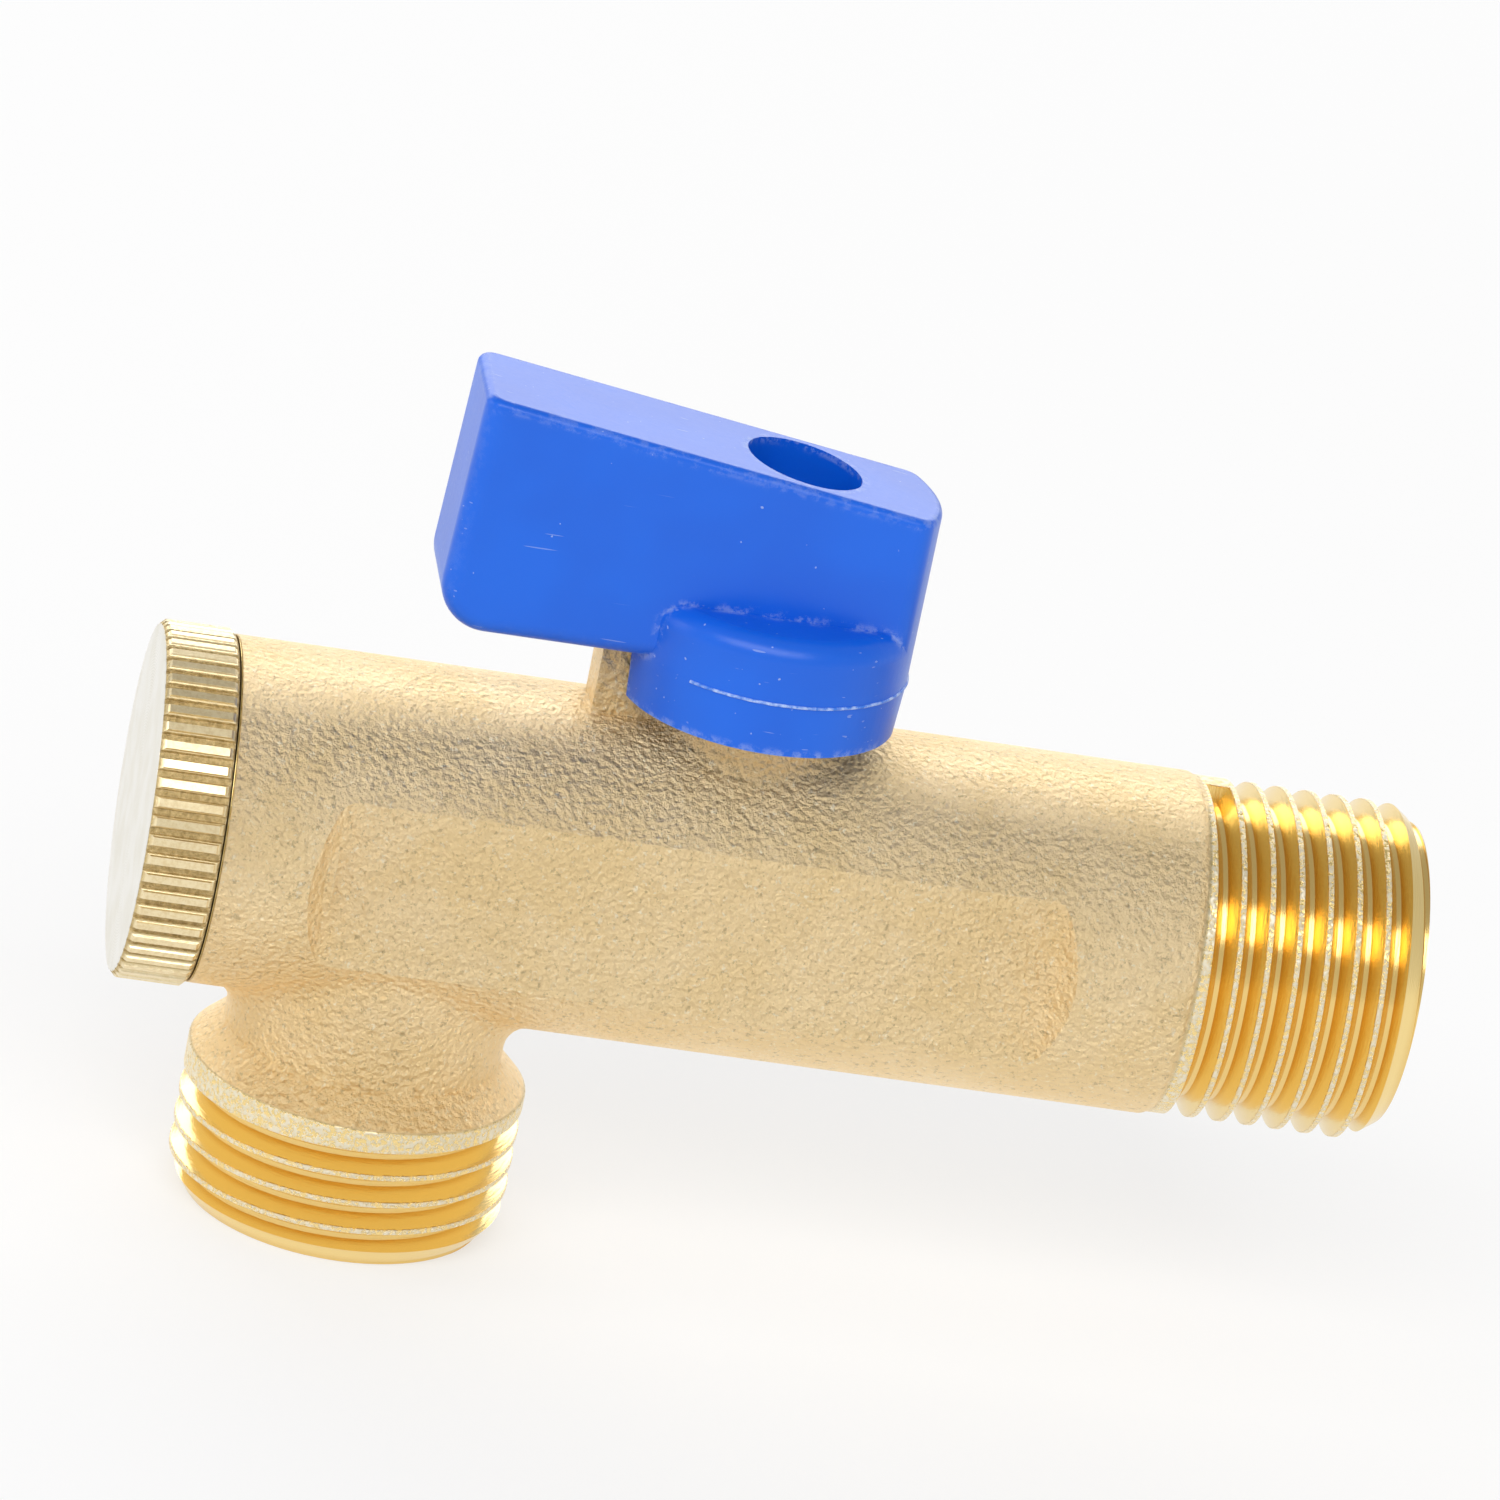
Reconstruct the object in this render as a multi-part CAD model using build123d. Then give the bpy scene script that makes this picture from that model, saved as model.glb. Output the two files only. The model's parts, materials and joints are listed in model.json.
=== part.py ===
from build123d import *
from build123d.topology import SkipClean
import math
import os

os.makedirs("parts", exist_ok=True)

# Angle ball valve with a built-in strainer, millimetres.
# X runs along the body: inlet end face at X = 0, strainer plug at -X.
# Z runs along the stem: handle up, outlet branch down.

# ---------------------------------------------------------------- modelling allowances
OVERLAP = 0.5
PAST = 1.0
TOUCH = 0.05

# ---------------------------------------------------------------- main stations
OVERALL_LENGTH = 78.5
STEM_FROM_INLET = 42.4
OUTLET_FROM_INLET = 62.1
OUTLET_STAND = 13.85
BODY_R = 10.65

# ---------------------------------------------------------------- G1/2 pipe threads
PIPE_R = 20.955 / 2
PIPE_PITCH = 1.814
PIPE_DEPTH = 1.162
PIPE_CREST = 0.30
PIPE_FLANK_DEG = 27.5
INLET_THREAD_LENGTH = 14.0
OUTLET_THREAD_LENGTH = 9.2
THREAD_LEAD_LENGTH = 1.66
THREAD_LEAD_DEPTH = 1.15
THREAD_CORE_R = 9.0
THREAD_START_SHARE = 0.8
THREAD_END_TURN = 0.01
THREAD_OVERCUT = 0.2

# ---------------------------------------------------------------- forged body
SHOULDER_ROUND = 0.7
FLAT_DEPTH = 1.45
FLAT_FROM_INLET = 21.4
FLAT_LENGTH = 47.0
FLAT_ROUND = 1.5
BOSS_R = 5.6
BOSS_STAND = 3.75
BOSS_ROUND = 1.5
LUG_REACH = 10.1
LUG_HALF_WIDTH = 1.9
LUG_STAND = 3.95
NECK_R = 8.6
NECK_ROUND = 1.8
PORT_CHAMFER = 0.6

# ---------------------------------------------------------------- waterway
INLET_BORE_R = 5.2
OUTLET_BORE_R = 5.5
BALL_TO_CAVITY = 0.2

# ---------------------------------------------------------------- ball, seats, retainer
BALL_R = 7.3
BALL_BORE_R = 4.2
BALL_SLOT_WIDTH = 3.1
BALL_SLOT_DEPTH = 2.3
SEAT_GAP = 0.12
SEAT_FIT = 0.08
SEAT_LIP = 0.4
SEAT_CONTACT = 1.1416
SEAT_BEHIND_BALL = 0.3
RETAINER_STEP = 0.5
RETAINER_FIT = 0.05
RETAINER_LENGTH = 5.2
RETAINER_SLOT_WIDTH = 2.4
RETAINER_SLOT_DEPTH = 1.2
RETAINER_RING_R = 0.6
RING_SIDE_ROOM = 0.1

# ---------------------------------------------------------------- stem
STEM_R = 3.5
STEM_FIT = 0.05
COLLAR_STEP = 1.0
COLLAR_HEIGHT = 0.9
COLLAR_POCKET_FIT = 0.1
WASHER_THICKNESS = 0.4
WASHER_PLAY = 0.02
BALL_TO_COLLAR = 0.15
TANG_THICKNESS = 2.9
TANG_HALF_LENGTH = 3.2
TANG_TO_SLOT = 0.2
STEM_RING_R = 0.55
STEM_RING_ROOM = 0.05
STEM_RING_SPACING = 2.2
SQUARE_WIDTH = 5.0
SQUARE_HEIGHT = 4.8
SQUARE_FIT = 0.05
SQUARE_LEAD = 0.7
TAP_DEPTH_PAST_SCREW = 1.5

# ---------------------------------------------------------------- handle
HUB_R = 8.7
SKIRT_DRAFT = 0.2
SKIRT_TO_BOSS = 0.8
SKIRT_TO_BARREL = 1.25
PARTING_OVER_BOSS = 0.8
DISC_HEIGHT = 3.9
DISC_ROUND = 1.4
LEVER_THICKNESS = 9.0
LEVER_REACH_TOP = 20.2
LEVER_REACH_BOTTOM = 20.9
LEVER_HUB_HEIGHT = 11.1
LEVER_SLOPE_DEG = 7.8
LEVER_CORNER_ROUND = 3.0
LEVER_EDGE_ROUND = 1.2
LEVER_TOP_ROUND = 0.5
STOP_GAP = 0.2
SCREW_RECESS_R = 3.6
SCREW_WEB = 1.2

# ---------------------------------------------------------------- handle screw
SCREW_R = 1.5
SCREW_HOLE_FIT = 0.2
SCREW_TAP_FIT = 0.03
SCREW_HEAD_R = 2.8
SCREW_HEAD_HEIGHT = 2.2
SCREW_HEAD_ROUND = 1.0
SCREW_GRIP = 6.0
SCREW_CROSS_WIDTH = 0.8
SCREW_CROSS_DEPTH = 1.1
SCREW_CROSS_LENGTH = 3.2
SPRING_WASHER_R = 2.7
SPRING_WASHER_HEIGHT = 0.7
SPRING_WASHER_SPLIT = 0.6
SPRING_WASHER_TURN_DEG = 35.0

# ---------------------------------------------------------------- strainer plug
PLUG_STAND = 0.3
PLUG_HEAD_WIDTH = 4.5
PLUG_SEAT_GAP = 0.1
PLUG_CHAMFER = 0.35
KNURL_COUNT = 58
KNURL_DEPTH = 0.4
KNURL_CREST_SHARE = 0.42
KNURL_FLOOR_SHARE = 0.30
PLUG_THREAD_R = 9.0
PLUG_PITCH = 1.0
PLUG_THREAD_DEPTH = 0.54
PLUG_FLANK_DEG = 30.0
PLUG_CREST = 0.22
PLUG_THREAD_FIT = 0.08
PLUG_THREAD_LENGTH = 4.6
THREAD_LINING_WALL = 0.7
PLUG_RING_R = 0.6
PLUG_RING_FIT = 0.05
PLUG_RING_ROOM = 0.2
PLUG_CUP_R = 6.5
PLUG_CUP_DEPTH = 4.0

# ---------------------------------------------------------------- strainer
SCREEN_R = 5.9
SCREEN_WALL = 0.35
SCREEN_HOLE_R = 0.55
SCREEN_HOLES_AROUND = 12
SCREEN_HOLE_PITCH = 1.7
SCREEN_END_BAND = 1.6
COLLAR_RING_R = 6.3
COLLAR_RING_LENGTH = 1.8
END_CAP_LENGTH = 2.2
STRAINER_FIT = 0.1
SCREEN_TO_CAP_FLOOR = 0.5
END_CAP_FLOOR = 1.0
END_CAP_RIM = 0.8

# ---------------------------------------------------------------- worked-out sizes and stations
OUTLET_DROP = BODY_R + OUTLET_STAND
PLUG_R = BODY_R + PLUG_STAND
BOSS_TOP = BODY_R + BOSS_STAND
LUG_TOP = BODY_R + LUG_STAND
CAVITY_R = BALL_R + BALL_TO_CAVITY
BALL_SLOT_FLOOR = BALL_R - BALL_SLOT_DEPTH
SEAT_INNER_R = BALL_BORE_R + SEAT_LIP
SEAT_BACK = BALL_R + SEAT_BEHIND_BALL
SEAT_FRONT = math.sqrt((BALL_R + SEAT_GAP) ** 2 - (SEAT_INNER_R + SEAT_CONTACT) ** 2)
RETAINER_BORE_R = CAVITY_R + RETAINER_STEP
COLLAR_R = STEM_R + COLLAR_STEP
SKIRT_INNER_R = BOSS_R + SKIRT_TO_BOSS
SKIRT_BOTTOM = BODY_R + SKIRT_TO_BARREL
HANDLE_PARTING = BOSS_TOP + PARTING_OVER_BOSS
THREAD_LINING_R = PLUG_THREAD_R + THREAD_LINING_WALL
STEM_X = -STEM_FROM_INLET
OUTLET_X = -OUTLET_FROM_INLET
PLUG_FACE_X = -OVERALL_LENGTH
PLUG_SEAT_X = PLUG_FACE_X + PLUG_HEAD_WIDTH
MOUTH_X = PLUG_SEAT_X + PLUG_SEAT_GAP
SEAT_SHOULDER_X = STEM_X + SEAT_BACK
RETAINER_FACE_X = STEM_X - SEAT_BACK
RETAINER_END_X = RETAINER_FACE_X - RETAINER_LENGTH
PLUG_MINOR_R = PLUG_THREAD_R - PLUG_THREAD_DEPTH
RING_RECESS_R = PLUG_THREAD_R + PLUG_THREAD_FIT + 2 * PLUG_RING_FIT
RING_RECESS_DEPTH = 2 * PLUG_RING_R + PLUG_RING_ROOM
PLUG_THREAD_END_X = MOUTH_X + RING_RECESS_DEPTH + PLUG_THREAD_LENGTH
COLLAR_BOTTOM = BALL_R + BALL_TO_COLLAR
COLLAR_TOP = COLLAR_BOTTOM + COLLAR_HEIGHT
POCKET_TOP = COLLAR_TOP + WASHER_THICKNESS
SQUARE_TOP = BOSS_TOP + SQUARE_HEIGHT
RECESS_FLOOR = SQUARE_TOP + SQUARE_FIT + SCREW_WEB
ROOT_R = PIPE_R - PIPE_DEPTH
SLOPE = math.tan(math.radians(PIPE_FLANK_DEG))

# Local +z of a piece laid along the body: from the inlet inwards, or from the plug inwards.
INWARD_FROM_INLET = Rot(0, -90, 0)
INWARD_FROM_PLUG = Rot(0, 90, 0)


# ---------------------------------------------------------------- helpers
def turned(outline):
    """Solid of revolution about Z from (radius, height) points."""
    corners = [Vector(r, 0, z) for r, z in outline]
    return Solid.revolve(Face(Wire.make_polygon(corners, close=True)), 360, Axis.Z)


def ring(inner_r, outer_r, low, high):
    """Plain tube about Z."""
    return turned([(inner_r, low), (outer_r, low), (outer_r, high), (inner_r, high)])


def rod(radius, low, high):
    """Plain round bar about Z."""
    return Pos(0, 0, low) * Cylinder(radius, high - low, align=(Align.CENTER, Align.CENTER, Align.MIN))


def block(x0, x1, y0, y1, z0, z1):
    """Box between two corners."""
    size = Box(x1 - x0, y1 - y0, z1 - z0, align=Align.MIN)
    return Pos(x0, y0, z0) * size


def o_ring(centre_r, section_r, height):
    """Round-section rubber ring about Z."""
    return Pos(0, 0, height) * Torus(centre_r, section_r)


def helical_cutter(inner_r, outer_r, inner_width, outer_width, pitch, start, height):
    """Trapezoid swept along a helix about Z, with its own width at the inner and at the outer radius."""
    corners = (
        (inner_r, -inner_width / 2),
        (outer_r, -outer_width / 2),
        (outer_r, outer_width / 2),
        (inner_r, inner_width / 2),
    )
    edges = []
    for radius, offset in corners:
        helix = Edge.make_helix(pitch=pitch, height=height, radius=radius, center=(0, 0, start + offset))
        edges.append(helix.edges()[0])
    faces = [Face.make_surface_from_curves(edges[i], edges[(i + 1) % 4]) for i in range(4)]
    faces.append(Face(Wire.make_polygon([edge @ 0 for edge in edges], close=True)))
    faces.append(Face(Wire.make_polygon([edge @ 1 for edge in edges], close=True)))
    return Solid(Shell(faces))


def quartered(solid, planes):
    """The same solid with its faces parted along planes through its axis."""
    for plane in planes:
        faces = []
        for piece in solid.split(plane, keep=Keep.ALL):
            for face in piece.faces():
                on_plane = abs(plane.to_local_coords(face.center()).Z) < 1e-6
                if not (face.geom_type == GeomType.PLANE and on_plane):
                    faces.append(face)
        solid = Solid(Shell(faces))
    return solid


# ---------------------------------------------------------------- pipe threads
def pipe_thread(length):
    """G1/2 male thread as a sleeve about Z, its end face at z = 0."""
    sleeve = rod(PIPE_R, 0, length) - rod(THREAD_CORE_R - PAST, 0, length)
    overcut = THREAD_OVERCUT
    mouth_width = PIPE_PITCH - PIPE_CREST + 2 * SLOPE * overcut
    root_width = PIPE_PITCH - PIPE_CREST - 2 * SLOPE * PIPE_DEPTH
    start = -THREAD_START_SHARE * PIPE_PITCH
    runout = PIPE_CREST + PIPE_PITCH / 2
    quarter_turns = math.floor(4 * (length - runout - start) / PIPE_PITCH)
    height = (quarter_turns / 4 + THREAD_END_TURN) * PIPE_PITCH
    groove = helical_cutter(ROOT_R, PIPE_R + overcut, root_width, mouth_width, PIPE_PITCH, start, height)
    lead_slope = THREAD_LEAD_LENGTH / THREAD_LEAD_DEPTH
    lead = turned([
        (PIPE_R - THREAD_LEAD_DEPTH, 0),
        (PIPE_R + PAST, 0),
        (PIPE_R + PAST, THREAD_LEAD_LENGTH + lead_slope * PAST),
    ])
    return quartered(sleeve.cut(groove) - lead, (Plane.XZ, Plane.YZ))


def plug_thread_cutter(height, male):
    """Cutter for the plug's thread, from just before z = 0: the male groove or the female one."""
    overcut = THREAD_OVERCUT / 2
    slope = math.tan(math.radians(PLUG_FLANK_DEG))
    wide = PLUG_PITCH - PLUG_CREST
    narrow = wide - 2 * slope * PLUG_THREAD_DEPTH + PLUG_THREAD_FIT
    mouth = wide + 2 * slope * overcut + PLUG_THREAD_FIT
    start = -THREAD_START_SHARE * PLUG_PITCH
    if male:
        floor_r = PLUG_MINOR_R - PLUG_THREAD_FIT
        crest_r = PLUG_THREAD_R + overcut
        return helical_cutter(floor_r, crest_r, narrow, mouth, PLUG_PITCH, start, height - start)
    floor_r = PLUG_THREAD_R + PLUG_THREAD_FIT
    crest_r = PLUG_MINOR_R - overcut
    return helical_cutter(crest_r, floor_r, mouth, narrow, PLUG_PITCH, start, height - start)


def female_plug_thread():
    """Threaded lining of the strainer chamber, about Z with the body's mouth at z = 0."""
    thread_end = RING_RECESS_DEPTH + PLUG_THREAD_LENGTH
    lining = rod(THREAD_LINING_R, 0, thread_end + PLUG_PITCH) - rod(PLUG_MINOR_R, 0, thread_end + PLUG_PITCH)
    lining = lining.cut(plug_thread_cutter(thread_end + PLUG_PITCH / 2, male=False))
    return lining - rod(THREAD_LINING_R + PAST, -PAST, RING_RECESS_DEPTH)


# ---------------------------------------------------------------- valve body
def body_barrel():
    """Forged barrel with rounded inlet shoulder, plus the core under the inlet thread."""
    barrel = INWARD_FROM_INLET * rod(BODY_R, INLET_THREAD_LENGTH, -MOUTH_X)
    shoulder = barrel.edges().filter_by(GeomType.CIRCLE).sort_by(Axis.X)[-1]
    barrel = fillet(shoulder, SHOULDER_ROUND)
    core = INWARD_FROM_INLET * rod(THREAD_CORE_R, 0, INLET_THREAD_LENGTH + SHOULDER_ROUND)
    return barrel + core


def outlet_branch():
    """Neck, cone and thread core of the outlet, about Z through the outlet axis."""
    thread_top = -OUTLET_DROP + OUTLET_THREAD_LENGTH
    cone_top = thread_top + PIPE_R - NECK_R
    outline = [
        (0, 0),
        (NECK_R, 0),
        (NECK_R, cone_top),
        (PIPE_R, thread_top),
        (NECK_R, thread_top),
        (NECK_R, -OUTLET_DROP),
        (0, -OUTLET_DROP),
    ]
    return Pos(OUTLET_X, 0, 0) * turned(outline)


def round_join(body, centre_x, radius, branch_r, above):
    """Rounds the line where an upright round branch meets the barrel."""
    joins = []
    for edge in body.edges():
        box = edge.bounding_box()
        middle_x = (box.min.X + box.max.X) / 2
        whole = abs(box.size.X - 2 * branch_r) < 2 * TOUCH and abs(middle_x - centre_x) < TOUCH
        half = abs(box.size.X - branch_r) < 2 * TOUCH
        on_side = box.min.Z > 0 if above else box.max.Z < 0
        leaves_plane = box.size.Z > 4 * TOUCH
        if (whole or half) and on_side and leaves_plane:
            joins.append(edge)
    return fillet(joins, radius)


def side_flats():
    """Cutters for the long flats on both sides of the barrel, with sloped ends."""
    depth = BODY_R - FLAT_DEPTH
    x1 = -FLAT_FROM_INLET
    x0 = x1 - FLAT_LENGTH
    outer = BODY_R + PAST
    outline = [(x0 - PAST, outer), (x0 + FLAT_DEPTH, depth), (x1 - FLAT_DEPTH, depth), (x1 + PAST, outer)]
    half_height = math.sqrt(BODY_R ** 2 - depth ** 2) + OVERLAP
    cutters = []
    for side in (1, -1):
        corners = [Vector(x, side * y, -half_height) for x, y in outline]
        wall = extrude(Face(Wire.make_polygon(corners, close=True)), amount=2 * half_height, dir=(0, 0, 1))
        inner = wall.edges().filter_by(Axis.Z).filter_by(lambda e: abs(abs(e.center().Y) - depth) < 1e-6)
        cutters.append(fillet(inner, FLAT_ROUND))
    return cutters


def port_chamfer(bore_r):
    """Cutter for the chamfer at a bore's mouth, about Z with the mouth at z = 0."""
    return turned([(0, 0), (bore_r + PORT_CHAMFER, 0), (bore_r, PORT_CHAMFER), (0, PORT_CHAMFER)])


def body_bores():
    """Everything cut out of the body: waterway, ball cavity, chamber, stem bore and plug mouth."""
    def along_body(radius, x_high, x_low):
        return INWARD_FROM_INLET * rod(radius, -x_high, -x_low)
    bores = [
        along_body(INLET_BORE_R, PAST, STEM_X),
        along_body(CAVITY_R, SEAT_SHOULDER_X, RETAINER_END_X),
        along_body(RETAINER_BORE_R, RETAINER_FACE_X + RETAINER_RING_R, RETAINER_END_X - PAST),
        along_body(PLUG_MINOR_R, RETAINER_END_X, MOUTH_X - PAST),
        along_body(RING_RECESS_R, MOUTH_X + RING_RECESS_DEPTH, MOUTH_X - PAST),
        along_body(THREAD_LINING_R - OVERLAP, PLUG_THREAD_END_X + PLUG_PITCH, MOUTH_X + RING_RECESS_DEPTH),
        Pos(OUTLET_X, 0, 0) * rod(OUTLET_BORE_R, -OUTLET_DROP - PAST, 0),
        Pos(STEM_X, 0, 0) * rod(STEM_R + STEM_FIT, 0, BOSS_TOP + PAST),
        Pos(STEM_X, 0, 0) * rod(COLLAR_R + COLLAR_POCKET_FIT, 0, POCKET_TOP),
    ]
    bores.append(INWARD_FROM_INLET * port_chamfer(INLET_BORE_R))
    bores.append(Pos(OUTLET_X, 0, -OUTLET_DROP) * port_chamfer(OUTLET_BORE_R))
    return bores


def valve_body():
    """Forged brass body with both pipe threads, the stem boss, the stop lug and all bores."""
    body = body_barrel() + Pos(STEM_X, 0, 0) * rod(BOSS_R, 0, BOSS_TOP)
    body = round_join(body, STEM_X, BOSS_ROUND, BOSS_R, above=True)
    body = body + outlet_branch()
    body = round_join(body, OUTLET_X, NECK_ROUND, NECK_R, above=False)
    body = body + block(STEM_X - LUG_REACH, STEM_X, -LUG_HALF_WIDTH, LUG_HALF_WIDTH, 0, LUG_TOP)
    for cutter in side_flats() + body_bores():
        body = body - cutter
    lining = Pos(MOUTH_X, 0, 0) * INWARD_FROM_PLUG * female_plug_thread()
    inlet = INWARD_FROM_INLET * pipe_thread(INLET_THREAD_LENGTH + SHOULDER_ROUND / 2)
    outlet = Pos(OUTLET_X, 0, -OUTLET_DROP) * pipe_thread(OUTLET_THREAD_LENGTH)
    with SkipClean():
        body = body.solids()[0].fuse(inlet, outlet, lining)
    return body


# ---------------------------------------------------------------- ball, seats, retainer
def ball():
    """Chromed ball with its bore along X and the stem slot across its top."""
    sphere = Sphere(BALL_R) - INWARD_FROM_INLET * rod(BALL_BORE_R, -BALL_R, BALL_R)
    half = BALL_SLOT_WIDTH / 2
    slot = block(-half, half, -BALL_R, BALL_R, BALL_SLOT_FLOOR, BALL_R)
    return Pos(STEM_X, 0, 0) * (sphere - slot)


def ball_seat(side):
    """PTFE seat ring with a spherical face; side is +1 towards the inlet and -1 towards the strainer."""
    seat = ring(SEAT_INNER_R, CAVITY_R - SEAT_FIT, SEAT_FRONT, SEAT_BACK) - Sphere(BALL_R + SEAT_GAP)
    return Pos(STEM_X, 0, 0) * Rot(0, side * 90, 0) * seat


def retainer_ring_x():
    """X of the retainer's O-ring, half way along it."""
    return (RETAINER_FACE_X + RETAINER_END_X) / 2


def seat_retainer():
    """Brass ring nut behind the outlet seat, slotted for its key and bored to hold the strainer."""
    outer = RETAINER_BORE_R - RETAINER_FIT
    nut = ring(SEAT_INNER_R, outer, 0, RETAINER_LENGTH)
    seat_floor = RETAINER_LENGTH - COLLAR_RING_LENGTH
    nut = nut - rod(COLLAR_RING_R + STRAINER_FIT, seat_floor, RETAINER_LENGTH + PAST)
    groove_half = RETAINER_RING_R + RING_SIDE_ROOM
    middle = RETAINER_LENGTH / 2
    floor = outer - 2 * RETAINER_RING_R
    nut = nut - ring(floor, outer + PAST, middle - groove_half, middle + groove_half)
    half = RETAINER_SLOT_WIDTH / 2
    nut = nut - block(-half, half, -outer, outer, RETAINER_LENGTH - RETAINER_SLOT_DEPTH, RETAINER_LENGTH)
    return Pos(RETAINER_FACE_X, 0, 0) * INWARD_FROM_INLET * nut


def retainer_o_ring():
    """Rubber ring in the retainer's groove."""
    centre_r = RETAINER_BORE_R - RETAINER_RING_R - RETAINER_FIT / 2
    rubber = o_ring(centre_r, RETAINER_RING_R - RETAINER_FIT / 2, 0)
    return Pos(retainer_ring_x(), 0, 0) * INWARD_FROM_INLET * rubber


# ---------------------------------------------------------------- stem and its seals
def stem_ring_heights():
    """Heights of the two O-ring grooves, evenly placed in the stem bore."""
    middle = (POCKET_TOP + BOSS_TOP) / 2
    return middle - STEM_RING_SPACING / 2, middle + STEM_RING_SPACING / 2


def stem():
    """Stem with tang, blow-out collar, two ring grooves, square top and tapped hole."""
    tang = block(-TANG_THICKNESS / 2, TANG_THICKNESS / 2, -TANG_HALF_LENGTH, TANG_HALF_LENGTH,
                 BALL_SLOT_FLOOR + TANG_TO_SLOT, COLLAR_TOP)
    shaft = rod(STEM_R, COLLAR_BOTTOM, BOSS_TOP) + rod(COLLAR_R, COLLAR_BOTTOM, COLLAR_TOP)
    groove_half = STEM_RING_R + RING_SIDE_ROOM
    groove_floor = STEM_R + STEM_FIT - 2 * STEM_RING_R
    for height in stem_ring_heights():
        shaft = shaft - ring(groove_floor, STEM_R + PAST, height - groove_half, height + groove_half)
    half = SQUARE_WIDTH / 2
    envelope = turned([(0, 0), (STEM_R, 0), (STEM_R, SQUARE_TOP - SQUARE_LEAD),
                       (STEM_R - SQUARE_LEAD, SQUARE_TOP), (0, SQUARE_TOP)])
    square = block(-half, half, -half, half, BOSS_TOP - OVERLAP, SQUARE_TOP) & envelope
    tap_floor = RECESS_FLOOR - SCREW_GRIP - TAP_DEPTH_PAST_SCREW
    tapped = rod(SCREW_R + SCREW_TAP_FIT, tap_floor, SQUARE_TOP + PAST)
    return Pos(STEM_X, 0, 0) * (tang + shaft + square - tapped)


def stem_thrust_washer():
    """Flat washer between the stem's collar and the top of its pocket."""
    washer = ring(STEM_R + STEM_FIT, COLLAR_R, COLLAR_TOP, POCKET_TOP - WASHER_PLAY)
    return Pos(STEM_X, 0, 0) * washer


def stem_o_ring(height):
    """Rubber ring in the stem groove at that height."""
    section = STEM_RING_R - STEM_RING_ROOM / 2
    return Pos(STEM_X, 0, 0) * o_ring(STEM_R + STEM_FIT - STEM_RING_R - STEM_RING_ROOM / 4, section, height)


# ---------------------------------------------------------------- handle, screw, washer
def lever():
    """Upright plate of the handle: sloped top, concentric hub end, rounded outer corner."""
    top_hub = HANDLE_PARTING + LEVER_HUB_HEIGHT
    rise = math.tan(math.radians(LEVER_SLOPE_DEG))
    top_outer = top_hub + rise * (LEVER_REACH_TOP + HUB_R)
    corners = [
        Vector(HUB_R, 0, HANDLE_PARTING),
        Vector(HUB_R, 0, top_hub),
        Vector(-LEVER_REACH_TOP, 0, top_outer),
        Vector(-LEVER_REACH_BOTTOM, 0, HANDLE_PARTING),
    ]
    side = Face(Wire.make_polygon(corners, close=True))
    plate = Pos(0, LEVER_THICKNESS / 2, 0) * extrude(side, amount=LEVER_THICKNESS, dir=(0, -1, 0))
    hub_end = rod(HUB_R, 0, top_outer) + block(-2 * LEVER_REACH_BOTTOM, 0, -HUB_R, HUB_R, 0, 2 * top_outer)
    plate = plate & hub_end
    low_corner = plate.edges().filter_by(Axis.Y).group_by(Axis.X)[0]
    plate = fillet(low_corner, LEVER_CORNER_ROUND)
    sides = plate.edges().filter_by(lambda e: abs(abs(e.center().Y) - LEVER_THICKNESS / 2) < TOUCH)
    upright = sides.filter_by(lambda e: e.bounding_box().size.Z > LEVER_HUB_HEIGHT / 2)
    corner_arcs = sides.filter_by(GeomType.CIRCLE)
    plate = fillet(upright + corner_arcs, LEVER_EDGE_ROUND)
    top = plate.faces().filter_by(lambda f: f.normal_at().Z > 0.9).sort_by(Axis.Z)[-1]
    return fillet(top.edges(), LEVER_TOP_ROUND)


def hub_disc():
    """Round disc that the lever stands on, rounded along its upper edge."""
    disc = rod(HUB_R, HANDLE_PARTING, HANDLE_PARTING + DISC_HEIGHT)
    return fillet(disc.edges().group_by(Axis.Z)[-1], DISC_ROUND)


def stop_skirt():
    """Drafted skirt under the disc, open over a quarter turn where it swings past the stop lug."""
    skirt = turned([
        (SKIRT_INNER_R, SKIRT_BOTTOM),
        (HUB_R - SKIRT_DRAFT, SKIRT_BOTTOM),
        (HUB_R, HANDLE_PARTING),
        (SKIRT_INNER_R, HANDLE_PARTING),
    ])
    edge = LUG_HALF_WIDTH + STOP_GAP
    return skirt - block(-2 * HUB_R, edge, -edge, 2 * HUB_R, SKIRT_BOTTOM - PAST, HANDLE_PARTING)


def handle():
    """One-piece moulded handle with square socket and screw recess."""
    body = lever() + hub_disc() + stop_skirt()
    half = SQUARE_WIDTH / 2 + SQUARE_FIT
    body = body - block(-half, half, -half, half, HANDLE_PARTING - PAST, SQUARE_TOP + SQUARE_FIT)
    body = body - rod(SCREW_R + SCREW_HOLE_FIT, SQUARE_TOP, RECESS_FLOOR + PAST)
    body = body - rod(SCREW_RECESS_R, RECESS_FLOOR, 2 * RECESS_FLOOR)
    return Pos(STEM_X, 0, 0) * body


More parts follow.
